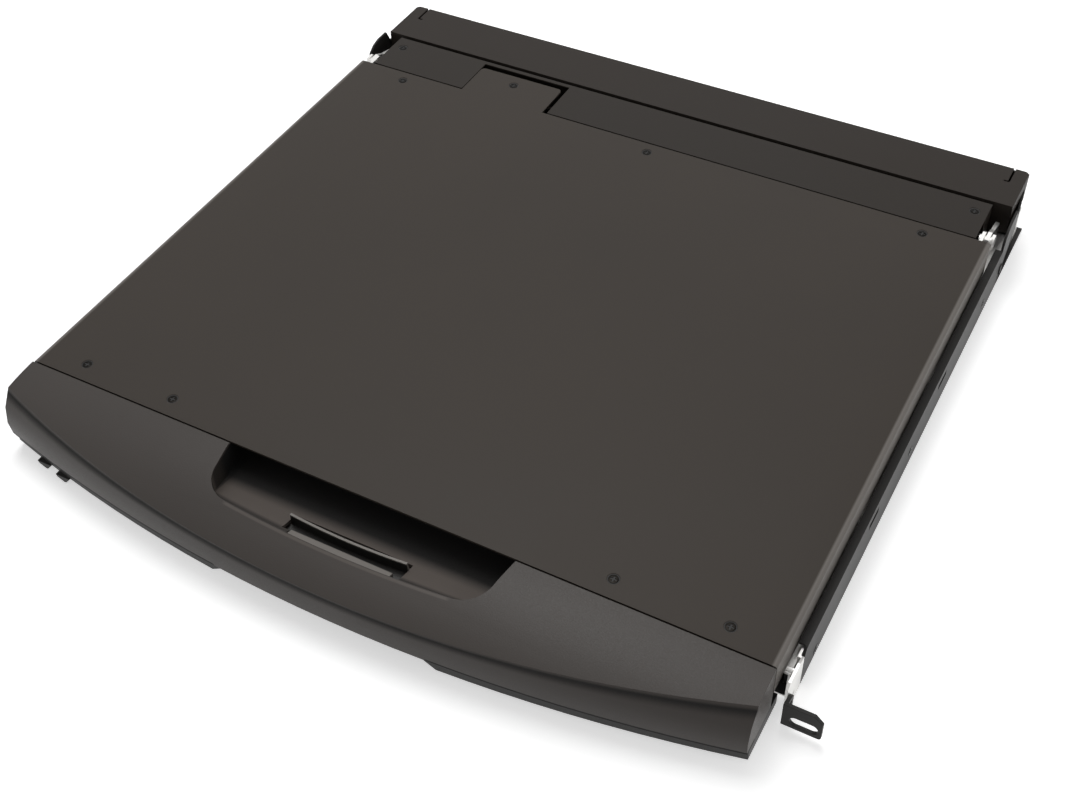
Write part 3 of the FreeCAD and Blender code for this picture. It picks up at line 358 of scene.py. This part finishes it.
def crease_shade(tree, x, y, z):
    """One everywhere, and lower for painted shade just under the crease and along the foot."""
    line = bow(tree, x, lid_half, crease_end - crease_middle, crease_middle)
    below = add_math(tree, "ADD", add_math(tree, "SUBTRACT", z, crown_top), crown_drop(tree, line))
    # Painted shade: a soft dark band just under the crease, on the front face only.
    upper = ramp(tree, below, -0.0016, 0.0004, crease_shade_tone, 1.0)
    lower = ramp(tree, below, -0.0064, -0.0012, 1.0, crease_shade_tone)
    on_front = ramp(tree, add_math(tree, "SUBTRACT", y, line), 0.003, 0.006, 1.0, 0.0)
    band = add_math(tree, "MAXIMUM", upper, lower)
    lost = add_math(tree, "MULTIPLY", add_math(tree, "SUBTRACT", 1.0, band), on_front)
    # Painted shade: a dark line just above the bezel's foot, for the shaded gap above the tray lip, left
    # out at the finger cut-out.
    foot_shade = ramp(tree, z, bezel_foot + 0.0010, bezel_foot + 0.0017, 0.95, 0.0)
    beside = ramp(tree, add_math(tree, "ABSOLUTE", x, 0.0), finger_half, finger_half + 0.002)
    foot_shade = add_math(tree, "MULTIPLY", add_math(tree, "MULTIPLY", foot_shade, beside), on_front)
    return add_math(tree, "MULTIPLY", add_math(tree, "SUBTRACT", 1.0, lost),
                    add_math(tree, "SUBTRACT", 1.0, foot_shade))


def recess_shade(tree, x, y, z):
    """One everywhere, near nothing as painted shade at the back of the recess, lower as painted shade
    behind its front rim and at its ends, above one as painted light on its floor, and above one as a
    painted highlight on its lip.
    """
    across = add_math(tree, "ABSOLUTE", x, 0.0)
    below = add_math(tree, "SUBTRACT", add_math(tree, "SUBTRACT", crown_top, crown_drop(tree, y)), z)
    behind_rim = add_math(tree, "SUBTRACT", y, bow(tree, x, rim_half, rim_bow, rim_middle))
    inside = ramp(tree, below, 0.0008, 0.0022)
    inside = add_math(tree, "MULTIPLY", inside, ramp(tree, behind_rim, -0.0012, -0.0004))
    inside = add_math(tree, "MULTIPLY", inside,
                      ramp(tree, across, recess_half - 0.0015, recess_half, 1.0, 0.0))
    # Painted shade: the back of the recess under the lid's edge, a band on the floor behind the front rim,
    # and its two ends.
    back = ramp(tree, y, -0.0160, -0.0070, 0.0, 0.97)
    foot = ramp(tree, behind_rim, 0.0052, 0.0080, 0.75, 0.0)
    ends = ramp(tree, across, recess_half - 0.0110, recess_half - 0.0094, 0.0, 0.72)
    # Painted light: the floor starts about twice as light as the bezel's tone.
    kept = floor_painted_light
    for loss in (back, foot, ends):
        kept = add_math(tree, "MULTIPLY", kept, add_math(tree, "SUBTRACT", 1.0, loss))
    lost = add_math(tree, "MULTIPLY", add_math(tree, "SUBTRACT", 1.0, kept), inside)
    # Painted highlight: a pale line along the front lip of the recess.
    lip = add_math(tree, "MULTIPLY", ramp(tree, behind_rim, -0.0022, -0.0014),
                   ramp(tree, behind_rim, -0.0006, -0.0002, 1.0, 0.0))
    lip = add_math(tree, "MULTIPLY", lip,
                   ramp(tree, across, rim_half - 0.0025, rim_half + 0.0010, 0.9, 0.0))
    return add_math(tree, "ADD", add_math(tree, "SUBTRACT", 1.0, lost), lip)


def bezel_finish(name, colour, roughness):
    """Fine-grained plastic with painted shade under the crease, along the foot and in the recess, and
    painted light on the recess floor and lip.
    """
    material, tree, shader, where = new_finish(name)
    broad = grain(tree, where, 14.0, 3.0)
    fine = grain(tree, where, 1400.0, 3.0)
    tone = tint_between(tree, spread(tree, broad, 0.0, 1.0), shade(colour, 0.95), shade(colour, 1.05))
    x, y, z = axes(tree, where)
    # The colour is scaled by the painted shade and painted light of the crease and the recess.
    depth = add_math(tree, "MULTIPLY", crease_shade(tree, x, y, z), recess_shade(tree, x, y, z))
    tree.links.new(dimmed(tree, tone, depth), shader.inputs["Base Color"])
    gloss = spread(tree, fine, roughness - 0.05, roughness + 0.05)
    shaded = add_math(tree, "MAXIMUM", add_math(tree, "SUBTRACT", 1.0, depth), 0.0)
    matt = add_math(tree, "MULTIPLY", shaded, 0.35)
    tree.links.new(add_math(tree, "ADD", gloss, matt), shader.inputs["Roughness"])
    shader.inputs["Specular IOR Level"].default_value = 0.24
    relief(tree, shader, fine, 0.2, 0.0002)
    return material


def latch_finish(name, colour, roughness):
    """The same plastic, with painted shade down in the trough between the rib and the pad."""
    material, tree, shader, where = new_finish(name)
    fine = grain(tree, where, 1400.0, 3.0)
    broad = grain(tree, where, 14.0, 3.0)
    tone = tint_between(tree, spread(tree, broad, 0.0, 1.0), shade(colour, 0.95), shade(colour, 1.05))
    x, y, z = axes(tree, where)
    # Painted shade: nearly black down in the trough between the rib and the pad.
    trough_shade = ramp(tree, z, 0.0218, 0.0226, 1.0, 0.0)
    for wall in (ramp(tree, y, -0.0262, -0.0255), ramp(tree, y, -0.0196, -0.0193, 1.0, 0.0)):
        trough_shade = add_math(tree, "MULTIPLY", trough_shade, wall)
    kept = add_math(tree, "SUBTRACT", 1.0, add_math(tree, "MULTIPLY", trough_shade, 0.93))
    tree.links.new(dimmed(tree, tone, kept), shader.inputs["Base Color"])
    tree.links.new(spread(tree, fine, roughness - 0.05, roughness + 0.05), shader.inputs["Roughness"])
    shader.inputs["Specular IOR Level"].default_value = 0.3
    relief(tree, shader, fine, 0.18, 0.0002)
    return material


bezel_plastic = bezel_finish("bezel_plastic", (0.047, 0.0400, 0.0355), 0.42)
# Painted light: the latch is the bezel's plastic, given a far lighter colour for its pad, which faces the
# light.
latch_plastic = latch_finish("latch_plastic", (0.20, 0.185, 0.170), 0.42)
print("bezel finishes", bezel_plastic.name, latch_plastic.name)

# %% [markdown]
# The slides are plated with bright zinc. Rolled strip keeps faint lines along its length, so the noise is
# stretched a long way in Y, and it moves the roughness and the tone only a little.

# %% Plated steel
def plated(name, colour, roughness, stretch, dark_front_y=None):
    """Bright plating with faint rolling lines along one axis, nearly black in front of a given depth in Y.
    """
    material, tree, shader, where = new_finish(name)
    lines = grain(tree, where, 60.0, 4.0, stretch)
    bloom = grain(tree, where, 70.0, 3.0)
    tone = tint_between(tree, spread(tree, bloom, 0.0, 1.0), shade(colour, 0.9), shade(colour, 1.04))
    if dark_front_y:
        # The tone drops to nearly black in front of the given depth.
        x, y, z = axes(tree, where)
        tone = dimmed(tree, tone, ramp(tree, y, dark_front_y, dark_front_y + 0.0005, 0.03, 1.0))
    tree.links.new(tone, shader.inputs["Base Color"])
    tree.links.new(spread(tree, lines, roughness - 0.06, roughness + 0.08), shader.inputs["Roughness"])
    shader.inputs["Metallic"].default_value = 1.0
    relief(tree, shader, lines, 0.06, 0.0001)
    return material


zinc = plated("zinc", (0.80, 0.79, 0.77), 0.34, (30, 1, 30))
slide_zinc = plated("slide_zinc", (0.76, 0.75, 0.73), 0.38, (30, 1, 30), dark_front_y=0.030)
nickel = plated("nickel", (0.72, 0.71, 0.68), 0.28, (1, 1, 20))
black_oxide = plated("black_oxide", (0.055, 0.054, 0.052), 0.45, (10, 10, 1))
print("plated finishes ready")

# %% [markdown]
# The screen is a dark, smooth pane. It is shown switched off, so it is nearly black with a clear gloss
# and the least unevenness in its coating. A circuit board is green lacquer over copper tracks, which a
# brick pattern stands for well enough at its size.

# %% Screen glass and circuit board
def dark_pane(name):
    """Switched-off screen behind a clear sheet."""
    material, tree, shader, where = new_finish(name)
    haze = grain(tree, where, 25.0, 2.0)
    tone = tint_between(tree, spread(tree, haze, 0.0, 1.0), (0.007, 0.0075, 0.009), (0.010, 0.011, 0.013))
    tree.links.new(tone, shader.inputs["Base Color"])
    tree.links.new(spread(tree, haze, 0.12, 0.17), shader.inputs["Roughness"])
    shader.inputs["Coat Weight"].default_value = 0.3
    shader.inputs["Coat Roughness"].default_value = 0.08
    relief(tree, shader, haze, 0.02, 0.0001)
    return material


def circuit_board(name):
    """Green lacquer over copper tracks."""
    material, tree, shader, where = new_finish(name)
    tracks = tree.nodes.new("ShaderNodeTexBrick")
    tracks.inputs["Scale"].default_value = 220.0
    tracks.inputs["Mortar Size"].default_value = 0.06
    tree.links.new(where, tracks.inputs["Vector"])
    tone = tint_between(tree, tracks.outputs["Fac"], (0.012, 0.085, 0.035), (0.05, 0.19, 0.07))
    tree.links.new(tone, shader.inputs["Base Color"])
    shader.inputs["Roughness"].default_value = 0.35
    relief(tree, shader, tracks.outputs["Fac"], 0.2, 0.0001)
    return material


screen_pane = dark_pane("screen_pane")
board_lacquer = circuit_board("board_lacquer")
print("screen and board finishes ready")

# %% [markdown]
# A node from the model is exact but its edges are razor sharp, and a real folded or moulded edge always
# has a small radius that catches light. A merged copy of the node, with its flat triangles dissolved into
# plain faces, takes a Bevel modifier well. The copy then stands for the node.

# %% Softened copies of the model's pieces
def softened(node, finish, body, width=0.0004, segments=2, flat=0.4, smooth=35.0):
    """A merged copy of a node with rounded edges, riding on its body."""
    mesh = cad_nodes[node].data.copy()
    mesh.name = node + "_soft"
    bm = bmesh.new()
    bm.from_mesh(mesh)
    bmesh.ops.remove_doubles(bm, verts=bm.verts, dist=2e-6)
    if flat:
        bmesh.ops.dissolve_limit(bm, angle_limit=math.radians(flat), verts=bm.verts, edges=bm.edges,
                                 use_dissolve_boundaries=False)
    for face in bm.faces:
        face.smooth = True
    for edge in bm.edges:
        edge.smooth = edge.calc_face_angle(0.0) < math.radians(smooth)
    bm.to_mesh(mesh)
    bm.free()
    mesh.materials.clear()
    mesh.materials.append(finish)
    piece = bpy.data.objects.new(node + "_soft", mesh)
    bpy.context.collection.objects.link(piece)
    if width:
        bevel = piece.modifiers.new("edge", "BEVEL")
        bevel.width = width
        bevel.segments = segments
        bevel.limit_method = "ANGLE"
        bevel.angle_limit = math.radians(40)
        bevel.harden_normals = True
    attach(piece, body)
    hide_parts(node)
    return piece


body_of_node = {n: b for b, ns in frame["record"]["behaviour"]["bodies"].items() for n in ns}
slot_of_node = {s["node"]: s["material_slot"] for s in frame["record"]["subparts"]}
finish_of_slot = {
    "cover_paint": cover_paint, "box_paint": box_paint, "rail_paint": rail_paint,
    "bezel_plastic": bezel_plastic, "latch_plastic": latch_plastic, "tray_plastic": tray_plastic,
    "deck_plastic": deck_plastic, "key_plastic": key_plastic, "pad_plastic": pad_plastic,
    "switch_plastic": switch_plastic, "zinc": zinc, "tray_steel": tray_paint,
    "screw_steel": black_oxide, "port_metal": nickel, "board": board_lacquer,
    "panel_grey": panel_grey, "glass": screen_pane,
}
print("nodes", len(body_of_node), "slots", len(finish_of_slot))

# %% [markdown]
# Sheet metal first: the lid cover, the strip behind it, the rear box, the rails and the ears. Their real
# edges are cut and tumbled, so a radius of about three tenths of a millimetre is enough. The rear end of
# each side cheek is bent in, to stand as close to the rear box as in the photograph. The bend goes a little
# too far: the sheet enters the box's end wall by about a millimetre, and the slide shows through its end.

# %% Dress the sheet metal
sheet_edge, ear_edge = 0.0003, 0.00035
bend_start, web_inside, bend_in = 0.372, 0.2172, 0.0036
sheet_metal = ["lid_cover", "hinge_strip", "rear_box_cover", "rear_box_shell", "right_rail", "left_rail",
               "right_cheek", "left_cheek", "right_rack_ear", "left_rack_ear", "tray_pan"]
for node in sheet_metal:
    slot = slot_of_node[node]
    paint = strip_paint if node == "hinge_strip" else finish_of_slot[slot]
    width = ear_edge if node.endswith("rack_ear") else sheet_edge
    sheet = softened(node, paint, body_of_node[node], width)
    if node.endswith("cheek"):
        for vert in sheet.data.vertices:
            if vert.co.y > bend_start and abs(vert.co.x) > web_inside:
                vert.co.x -= math.copysign(bend_in, vert.co.x)
print("sheet metal pieces", len(sheet_metal))

# %% [markdown]
# The bezel is the piece that the hand meets. It is curved two ways, so its facets are not dissolved: they
# are shaded smooth up to a limit that keeps the rim of the handle recess crisp.

# %% Dress the bezel, the latch and the tray front
moulded_pieces = {"front_bezel": (bezel_plastic, 0.0005, 0.0, 28.0),
                  "release_latch": (latch_plastic, 0.0003, 0.0, 30.0),
                  "tray_front_lip": (tray_plastic, 0.0004, 0.0, 30.0),
                  "keyboard_deck": (deck_plastic, 0.0005, 0.0, 30.0),
                  "screen_frame": (deck_plastic, 0.0004, 0.4, 30.0)}
for node, (plastic, width, flat, smooth) in moulded_pieces.items():
    softened(node, plastic, body_of_node[node], width, 2, flat, smooth)
print("moulded pieces", len(moulded_pieces))

# %% [markdown]
# Model the keycaps. Each key is a block that is drawn in at the top, rounded along its edges and
# pressed in a little on its top face, so that a finger finds it. A short stem holds it from below.

# %% Keycaps
pitch, rear_edge, gap_half = 19.05, 243.0, 1.6
cap_foot, cap_top = 15.1, 19.6
stem_foot, stem_half = 8.0, 2.0
draw_in, draw_in_rear = 0.0011, 0.00066
dish = [(0.0010, 0.00008), (0.0016, 0.00022), (0.0018, 0.00012)]


def above_base(x, y, z):
    """A point in metres from millimetres over the base of the rails."""
    return Vector((x / 1000, y / 1000, (z - 9.5) / 1000))


def block(bm, low, high):
    """A box between two corners, with its own vertices returned."""
    middle, size = (low + high) / 2, high - low
    place = Matrix.Translation(middle) @ Matrix.Diagonal((size.x, size.y, size.z, 1))
    return bmesh.ops.create_cube(bm, size=1.0, matrix=place)["verts"]


def keycap(left, right, middle):
    """One key between two x values, in millimetres, with its dished top and its stem."""
    bm = bmesh.new()
    front, rear = middle - pitch / 2 + gap_half, middle + pitch / 2 - gap_half
    low = above_base(left + gap_half, front, cap_foot)
    high = above_base(right - gap_half, rear, cap_top)
    centre = (low + high) / 2
    for vert in block(bm, low, high):
        if vert.co.z > centre.z:
            vert.co.x += draw_in if vert.co.x < centre.x else -draw_in
            vert.co.y += draw_in if vert.co.y < centre.y else -draw_in_rear
    bmesh.ops.bevel(bm, geom=bm.edges[:], offset=0.0006, offset_type="OFFSET", segments=3,
                    profile=0.5, material=-1, affect="EDGES", clamp_overlap=True)
    top = max(bm.faces, key=lambda face: face.calc_center_median().z + face.calc_area())
    for inward, down in dish:
        bmesh.ops.inset_individual(bm, faces=[top], thickness=inward, depth=-down, use_even_offset=True)
    across = (left + right) / 2
    block(bm, above_base(across - stem_half, middle - stem_half, stem_foot),
          above_base(across + stem_half, middle + stem_half, cap_foot + 0.5))
    return bm


def joined(parts, name, finishes, sharp):
    """Many small meshes as one piece, smooth but for its sharp edges."""
    whole = bmesh.new()
    for part in parts:
        mesh = bpy.data.meshes.new("part")
        part.to_mesh(mesh)
        part.free()
        whole.from_mesh(mesh)
        bpy.data.meshes.remove(mesh)
    for face in whole.faces:
        face.smooth = True
    for edge in whole.edges:
        edge.smooth = edge.calc_face_angle(0.0) < math.radians(sharp)
    mesh = bpy.data.meshes.new(name)
    whole.to_mesh(mesh)
    whole.free()
    for finish in finishes:
        mesh.materials.append(finish)
    piece = bpy.data.objects.new(name, mesh)
    bpy.context.collection.objects.link(piece)
    return piece


key_widths = [[1] * 15, [1] * 13 + [2], [1.5] + [1] * 12 + [1.5], [1.75] + [1] * 11 + [2.25],
              [2.25] + [1] * 10 + [1.75, 1], [1.25, 1.25, 1.25, 5.25] + [1] * 6]
for row, widths in enumerate(key_widths):
    node, caps = "key_row_%d" % (row + 1), []
    left = -sum(widths) / 2 * pitch
    for width in widths:
        caps.append(keycap(left, left + width * pitch, rear_edge - pitch * (row + 0.5)))
        left += width * pitch
    piece = joined(caps, node + "_soft", [key_plastic], 40)
    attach(piece, body_of_node[node])
    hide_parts(node)
print("keys", sum(len(widths) for widths in key_widths))

# %% [markdown]
# The pieces that keep the model's own mesh still need a real finish. Each object's slot is switched to
# the object, so that the mesh underneath isn't touched.

# %% Finish what the model already shapes well
done = {o.name.removesuffix("_soft") for o in bpy.data.objects if o.name.endswith("_soft")}
own_finish = {node: slide_zinc for node in cad_nodes if "slide_inner" in node or "slide_middle" in node}
kept = 0
for node, obj in cad_nodes.items():
    if node in done or not obj.material_slots:
        continue
    for place in obj.material_slots:
        place.link = "OBJECT"
        place.material = own_finish.get(node, finish_of_slot[slot_of_node[node]])
    kept += 1
print("nodes with a new finish", kept)

# %% [markdown]
# White paint for the table top. It carries a trace of grain, and it shows as plain white to the camera
# and in reflections, while it still takes the soft shadow under the drawer.

# %% Table top finish
white, tree, shader, where = new_finish("table_white")
soft = grain(tree, where, 3.0, 2.0)
tree.links.new(tint_between(tree, spread(tree, soft, 0, 1), (0.93, 0.93, 0.93), (0.95, 0.95, 0.95)),
               shader.inputs["Base Color"])
shader.inputs["Roughness"].default_value = 0.9
shader.inputs["Specular IOR Level"].default_value = 0.1
table_glow = 0.55
shader.inputs["Emission Color"].default_value = (1, 1, 1, 1)
tree.links.new(ranged(tree, seen_directly(tree), 0.0, table_glow), shader.inputs["Emission Strength"])
table.data.materials.append(white)
print("table finished")

# %% [markdown]
# The covers are held by black countersunk screws with a cross recess, flush with the sheet. Each head is a
# disc: its inner part is cut by four planes, the five pieces that form the cross are pushed in, the edge
# is drawn down into the cone, and the rim is rounded. The bottom of the cross is painted near-black as
# painted shade, and a thin black disc under the head is a painted shadow in the gap of the countersink.
# One helper makes the head, and a second one sets many of them into one piece.

# %% Screw heads
def shallow_cone(bm, rim, deep, narrow):
    """Draws an open rim down into a cone and closes it."""
    drawn = bmesh.ops.extrude_edge_only(bm, edges=rim)["geom"]
    low = [v for v in drawn if isinstance(v, bmesh.types.BMVert)]
    bmesh.ops.scale(bm, vec=(narrow, narrow, 1), verts=low)
    bmesh.ops.translate(bm, vec=(0, 0, -deep), verts=low)
    bmesh.ops.holes_fill(bm, edges=[e for e in bm.edges if e.is_boundary], sides=0)


def cross_head(radius, deep, narrow=0.62, arm=0.17):
    """A screw head at the origin, its face up, with a cross recess."""
    bm = bmesh.new()
    inner = radius * 0.68
    bmesh.ops.create_circle(bm, cap_ends=True, radius=radius, segments=24)
    bmesh.ops.inset_individual(bm, faces=bm.faces[:], thickness=radius * 0.36)
    for normal in ((1, 0, 0), (0, 1, 0)):
        for side in (-1, 1):
            part = [f for f in bm.faces if all(v.co.length < inner for v in f.verts)]
            geometry = part + [e for f in part for e in f.edges] + [v for f in part for v in f.verts]
            bmesh.ops.bisect_plane(bm, geom=list(dict.fromkeys(geometry)), dist=1e-7,
                                   plane_co=tuple(side * arm * radius * n for n in normal),
                                   plane_no=normal)
    reach = radius * arm
    cross = [f for f in bm.faces if all(v.co.length < inner for v in f.verts)
             and min(abs(f.calc_center_median().x), abs(f.calc_center_median().y)) < reach]
    rim = [e for e in bm.edges if e.is_boundary]
    pushed = bmesh.ops.extrude_face_region(bm, geom=cross)["geom"]
    low = [v for v in pushed if isinstance(v, bmesh.types.BMVert)]
    bmesh.ops.scale(bm, vec=(0.72, 0.72, 1), verts=low)
    bmesh.ops.translate(bm, vec=(0, 0, -deep * 0.8), verts=low)
    bmesh.ops.delete(bm, geom=cross, context="FACES_ONLY")
    # Painted shade: the deep faces of the cross take the near-black second finish.
    for face in bm.faces:
        if all(v.co.z < -deep * 0.7 for v in face.verts):
            face.material_index = 1
    shallow_cone(bm, rim, deep, narrow)
    # Painted shadow: a thin black disc just under the head fills the gap of the countersink.
    shade_skirt = bmesh.ops.create_cone(bm, cap_ends=True, segments=24, radius1=radius * 1.19,
                                  radius2=radius * 1.19, depth=0.0001,
                                  matrix=Matrix.Translation((0, 0, -0.00027)))["verts"]
    for face in {f for v in shade_skirt for f in v.link_faces}:
        face.material_index = 1
    bmesh.ops.bevel(bm, geom=rim, offset=radius * 0.14, offset_type="OFFSET", segments=2, profile=0.5,
                    affect="EDGES", material=-1)
    bmesh.ops.recalc_face_normals(bm, faces=bm.faces[:])
    return bm


def rivet_head(radius, high):
    """A domed rivet head at the origin."""
    bm = bmesh.new()
    bmesh.ops.create_cone(bm, cap_ends=True, cap_tris=False, segments=20, radius1=radius,
                          radius2=radius * 0.8, depth=high)
    upper = [e for e in bm.edges if all(v.co.z > 0 for v in e.verts)]
    bmesh.ops.bevel(bm, geom=upper, offset=high * 0.6, offset_type="OFFSET", segments=3, profile=0.5,
                    affect="EDGES", material=-1)
    bmesh.ops.recalc_face_normals(bm, faces=bm.faces[:])
    return bm


def set_fasteners(name, make_head, places, outward, body):
    """Many heads as one piece, each turned to face outward at its place."""
    turn = Vector(outward).to_track_quat("Z", "X").to_matrix().to_4x4()
    heads = []
    for place in places:
        head = make_head()
        head.transform(Matrix.Translation(place) @ turn)
        heads.append(head)
    piece = joined(heads, name, [screw_black, painted_shade_black], 35)
    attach(piece, body)


def cover_head():
    """The head that holds the cover sheets."""
    return cross_head(0.00278, 0.0011)


def rail_head():
    """The head on the side of a rail."""
    return cross_head(0.0027, 0.0009)


def inlet_head():
    """The head beside the power inlet."""
    return cross_head(0.0026, 0.0009)


def ear_head():
    """The rivet that holds a rack ear."""
    return rivet_head(0.0021, 0.0010)


screw_black = plated("screw_black", (0.010, 0.009, 0.008), 0.30, (10, 10, 1))
# A near-black finish used as painted shade in the screw heads.
painted_shade_black = moulded("painted_shade_black", (0.004, 0.004, 0.004), 0.6, 0.05)
lid_screws = [(-187.9, 11.3), (-129.8, 11.3), (129.7, 11.3), (188.9, 11.3),
              (-177.9, 317.5), (1.0, 317.5), (177.7, 317.5), (-108.9, 344.7)]
strip_screws = [(-198.6, 351.0), (198.6, 351.0)]
flush = 41.93
rail_screws = [(43.5, 4.6), (180, 10.9), (310, 10.9)]
ear_rivets = [(3.2, 8.2), (3.2, 14.6)]
rail_face, ear_face = 221.75, 223.9
inlet_screws = [(-153.2, 21), (-118.8, 21)]
inlet_face = 403.3
set_fasteners("lid_screws", cover_head, [above_base(x, y, flush) for x, y in lid_screws],
              (0, 0, 1), "lid")
set_fasteners("strip_screws", cover_head, [above_base(x, y, flush) for x, y in strip_screws],
              (0, 0, 1), "drawer")
for side, name in ((1, "right"), (-1, "left")):
    set_fasteners(name + "_rail_screws", rail_head,
                  [above_base(side * rail_face, y, z) for y, z in rail_screws],
                  (side, 0, 0), "rack_frame")
    set_fasteners(name + "_ear_rivets", ear_head,
                  [above_base(side * ear_face, y, z) for y, z in ear_rivets],
                  (side, 0, 0), "rack_frame")
set_fasteners("inlet_screws", inlet_head, [above_base(x, inlet_face, z) for x, z in inlet_screws],
              (0, 1, 0), "rack_frame")
print("heads", len(lid_screws + strip_screws + inlet_screws) + 2 * len(rail_screws + ear_rivets))
